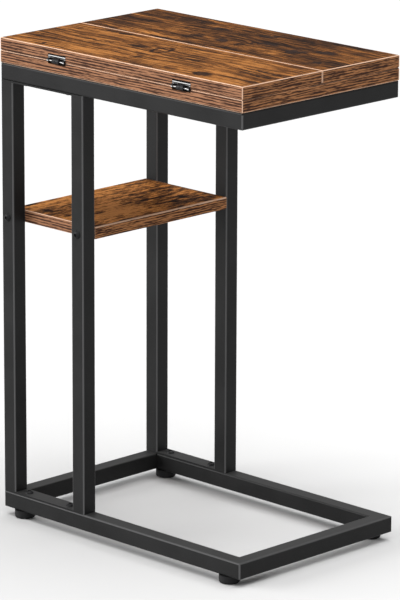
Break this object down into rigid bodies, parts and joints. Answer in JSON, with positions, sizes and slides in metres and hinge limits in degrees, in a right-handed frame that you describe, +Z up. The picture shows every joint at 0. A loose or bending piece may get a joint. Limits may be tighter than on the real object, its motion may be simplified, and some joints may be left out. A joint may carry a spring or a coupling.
{
  "type": "side table",
  "caption": "C-shaped side table: square-tube frame open on one end, narrow shelf between the posts, board top with two leaves that fold outwards, round levelling feet.",
  "frame": {"origin": "on the floor under the middle of the closed table", "axes": "+Z up; +X along the long side of the top, from the posts to the open end; +Y across the table, from the near long side in the picture to the far one"},
  "size_m": [0.4, 0.267, 0.59],
  "materials": {
    "powder_coated_steel": "satin black powder coat",
    "rustic_board": "matt rustic brown board with dark grain and pale worn edges",
    "black_hardware": "black oxide",
    "bright_steel": "bright drawn steel",
    "zinc_plated_steel": "zinc plated",
    "black_rubber": "matt black"
  },
  "bodies": {
    "frame": {"top_rail_near": "powder_coated_steel", "top_rail_far": "powder_coated_steel", "top_rail_left": "powder_coated_steel", "top_rail_right": "powder_coated_steel", "base_rail_near": "powder_coated_steel", "base_rail_far": "powder_coated_steel", "base_rail_left": "powder_coated_steel", "base_rail_right": "powder_coated_steel", "post_near_outer": "powder_coated_steel", "post_near_inner": "powder_coated_steel", "post_far_outer": "powder_coated_steel", "post_far_inner": "powder_coated_steel", "flat_bar_near_top": "powder_coated_steel", "flat_bar_near_bottom": "powder_coated_steel", "flat_bar_far_top": "powder_coated_steel", "flat_bar_far_bottom": "powder_coated_steel", "lower_board": "rustic_board", "shelf": "rustic_board", "hinge_base_near_left": "black_hardware", "hinge_base_near_right": "black_hardware", "hinge_base_far_left": "black_hardware", "hinge_base_far_right": "black_hardware", "hinge_pin_near_left": "bright_steel", "hinge_pin_near_right": "bright_steel", "hinge_pin_far_left": "bright_steel", "hinge_pin_far_right": "bright_steel", "hinge_grub_screws": "black_hardware", "hinge_base_screws": "zinc_plated_steel", "shelf_bolts": "black_hardware", "shelf_inserts": "zinc_plated_steel", "base_bolts": "black_hardware", "base_weld_nuts": "zinc_plated_steel", "top_bolts": "black_hardware", "top_weld_nuts": "zinc_plated_steel", "board_screws": "zinc_plated_steel", "foot_weld_nuts": "zinc_plated_steel"},
    "leaf_near": {"leaf_near": "rustic_board", "hinge_arm_near_left": "black_hardware", "hinge_arm_near_right": "black_hardware", "leaf_near_screws": "zinc_plated_steel"},
    "leaf_far": {"leaf_far": "rustic_board", "hinge_arm_far_left": "black_hardware", "hinge_arm_far_right": "black_hardware", "leaf_far_screws": "zinc_plated_steel"},
    "pad_near_left": {"foot_pad_near_left": "black_rubber"},
    "stud_near_left": {"foot_stud_near_left": "zinc_plated_steel"},
    "pad_near_right": {"foot_pad_near_right": "black_rubber"},
    "stud_near_right": {"foot_stud_near_right": "zinc_plated_steel"},
    "pad_far_left": {"foot_pad_far_left": "black_rubber"},
    "stud_far_left": {"foot_stud_far_left": "zinc_plated_steel"},
    "pad_far_right": {"foot_pad_far_right": "black_rubber"},
    "stud_far_right": {"foot_stud_far_right": "zinc_plated_steel"}
  },
  "joints": [
    {"name": "leaf_near_fold", "type": "hinge", "parent": "frame", "child": "leaf_near", "pos_m": [0, -0.13025, 0.57485], "axis": [1, 0, 0], "range_deg": [0, 180]},
    {"name": "leaf_far_fold", "type": "hinge", "parent": "frame", "child": "leaf_far", "pos_m": [0, 0.13025, 0.57485], "axis": [-1, 0, 0], "range_deg": [0, 180]},
    {"name": "foot_near_left_height", "type": "slide", "parent": "frame", "child": "pad_near_left", "axis": [0, 0, -1], "range_m": [0, 0.006]},
    {"name": "foot_near_left_turn", "type": "hinge", "parent": "pad_near_left", "child": "stud_near_left", "pos_m": [-0.174, -0.12, 0.006], "axis": [0, 0, -1], "range_deg": [0, 2160]},
    {"name": "foot_near_right_height", "type": "slide", "parent": "frame", "child": "pad_near_right", "axis": [0, 0, -1], "range_m": [0, 0.006]},
    {"name": "foot_near_right_turn", "type": "hinge", "parent": "pad_near_right", "child": "stud_near_right", "pos_m": [0.174, -0.12, 0.006], "axis": [0, 0, -1], "range_deg": [0, 2160]},
    {"name": "foot_far_left_height", "type": "slide", "parent": "frame", "child": "pad_far_left", "axis": [0, 0, -1], "range_m": [0, 0.006]},
    {"name": "foot_far_left_turn", "type": "hinge", "parent": "pad_far_left", "child": "stud_far_left", "pos_m": [-0.174, 0.12, 0.006], "axis": [0, 0, -1], "range_deg": [0, 2160]},
    {"name": "foot_far_right_height", "type": "slide", "parent": "frame", "child": "pad_far_right", "axis": [0, 0, -1], "range_m": [0, 0.006]},
    {"name": "foot_far_right_turn", "type": "hinge", "parent": "pad_far_right", "child": "stud_far_right", "pos_m": [0.174, 0.12, 0.006], "axis": [0, 0, -1], "range_deg": [0, 2160]}
  ],
  "couplings": [
    {"joint": "foot_near_left_turn", "follows": "foot_near_left_height", "rad_per_m": 6283.2},
    {"joint": "foot_near_right_turn", "follows": "foot_near_right_height", "rad_per_m": 6283.2},
    {"joint": "foot_far_left_turn", "follows": "foot_far_left_height", "rad_per_m": 6283.2},
    {"joint": "foot_far_right_turn", "follows": "foot_far_right_height", "rad_per_m": 6283.2}
  ]
}
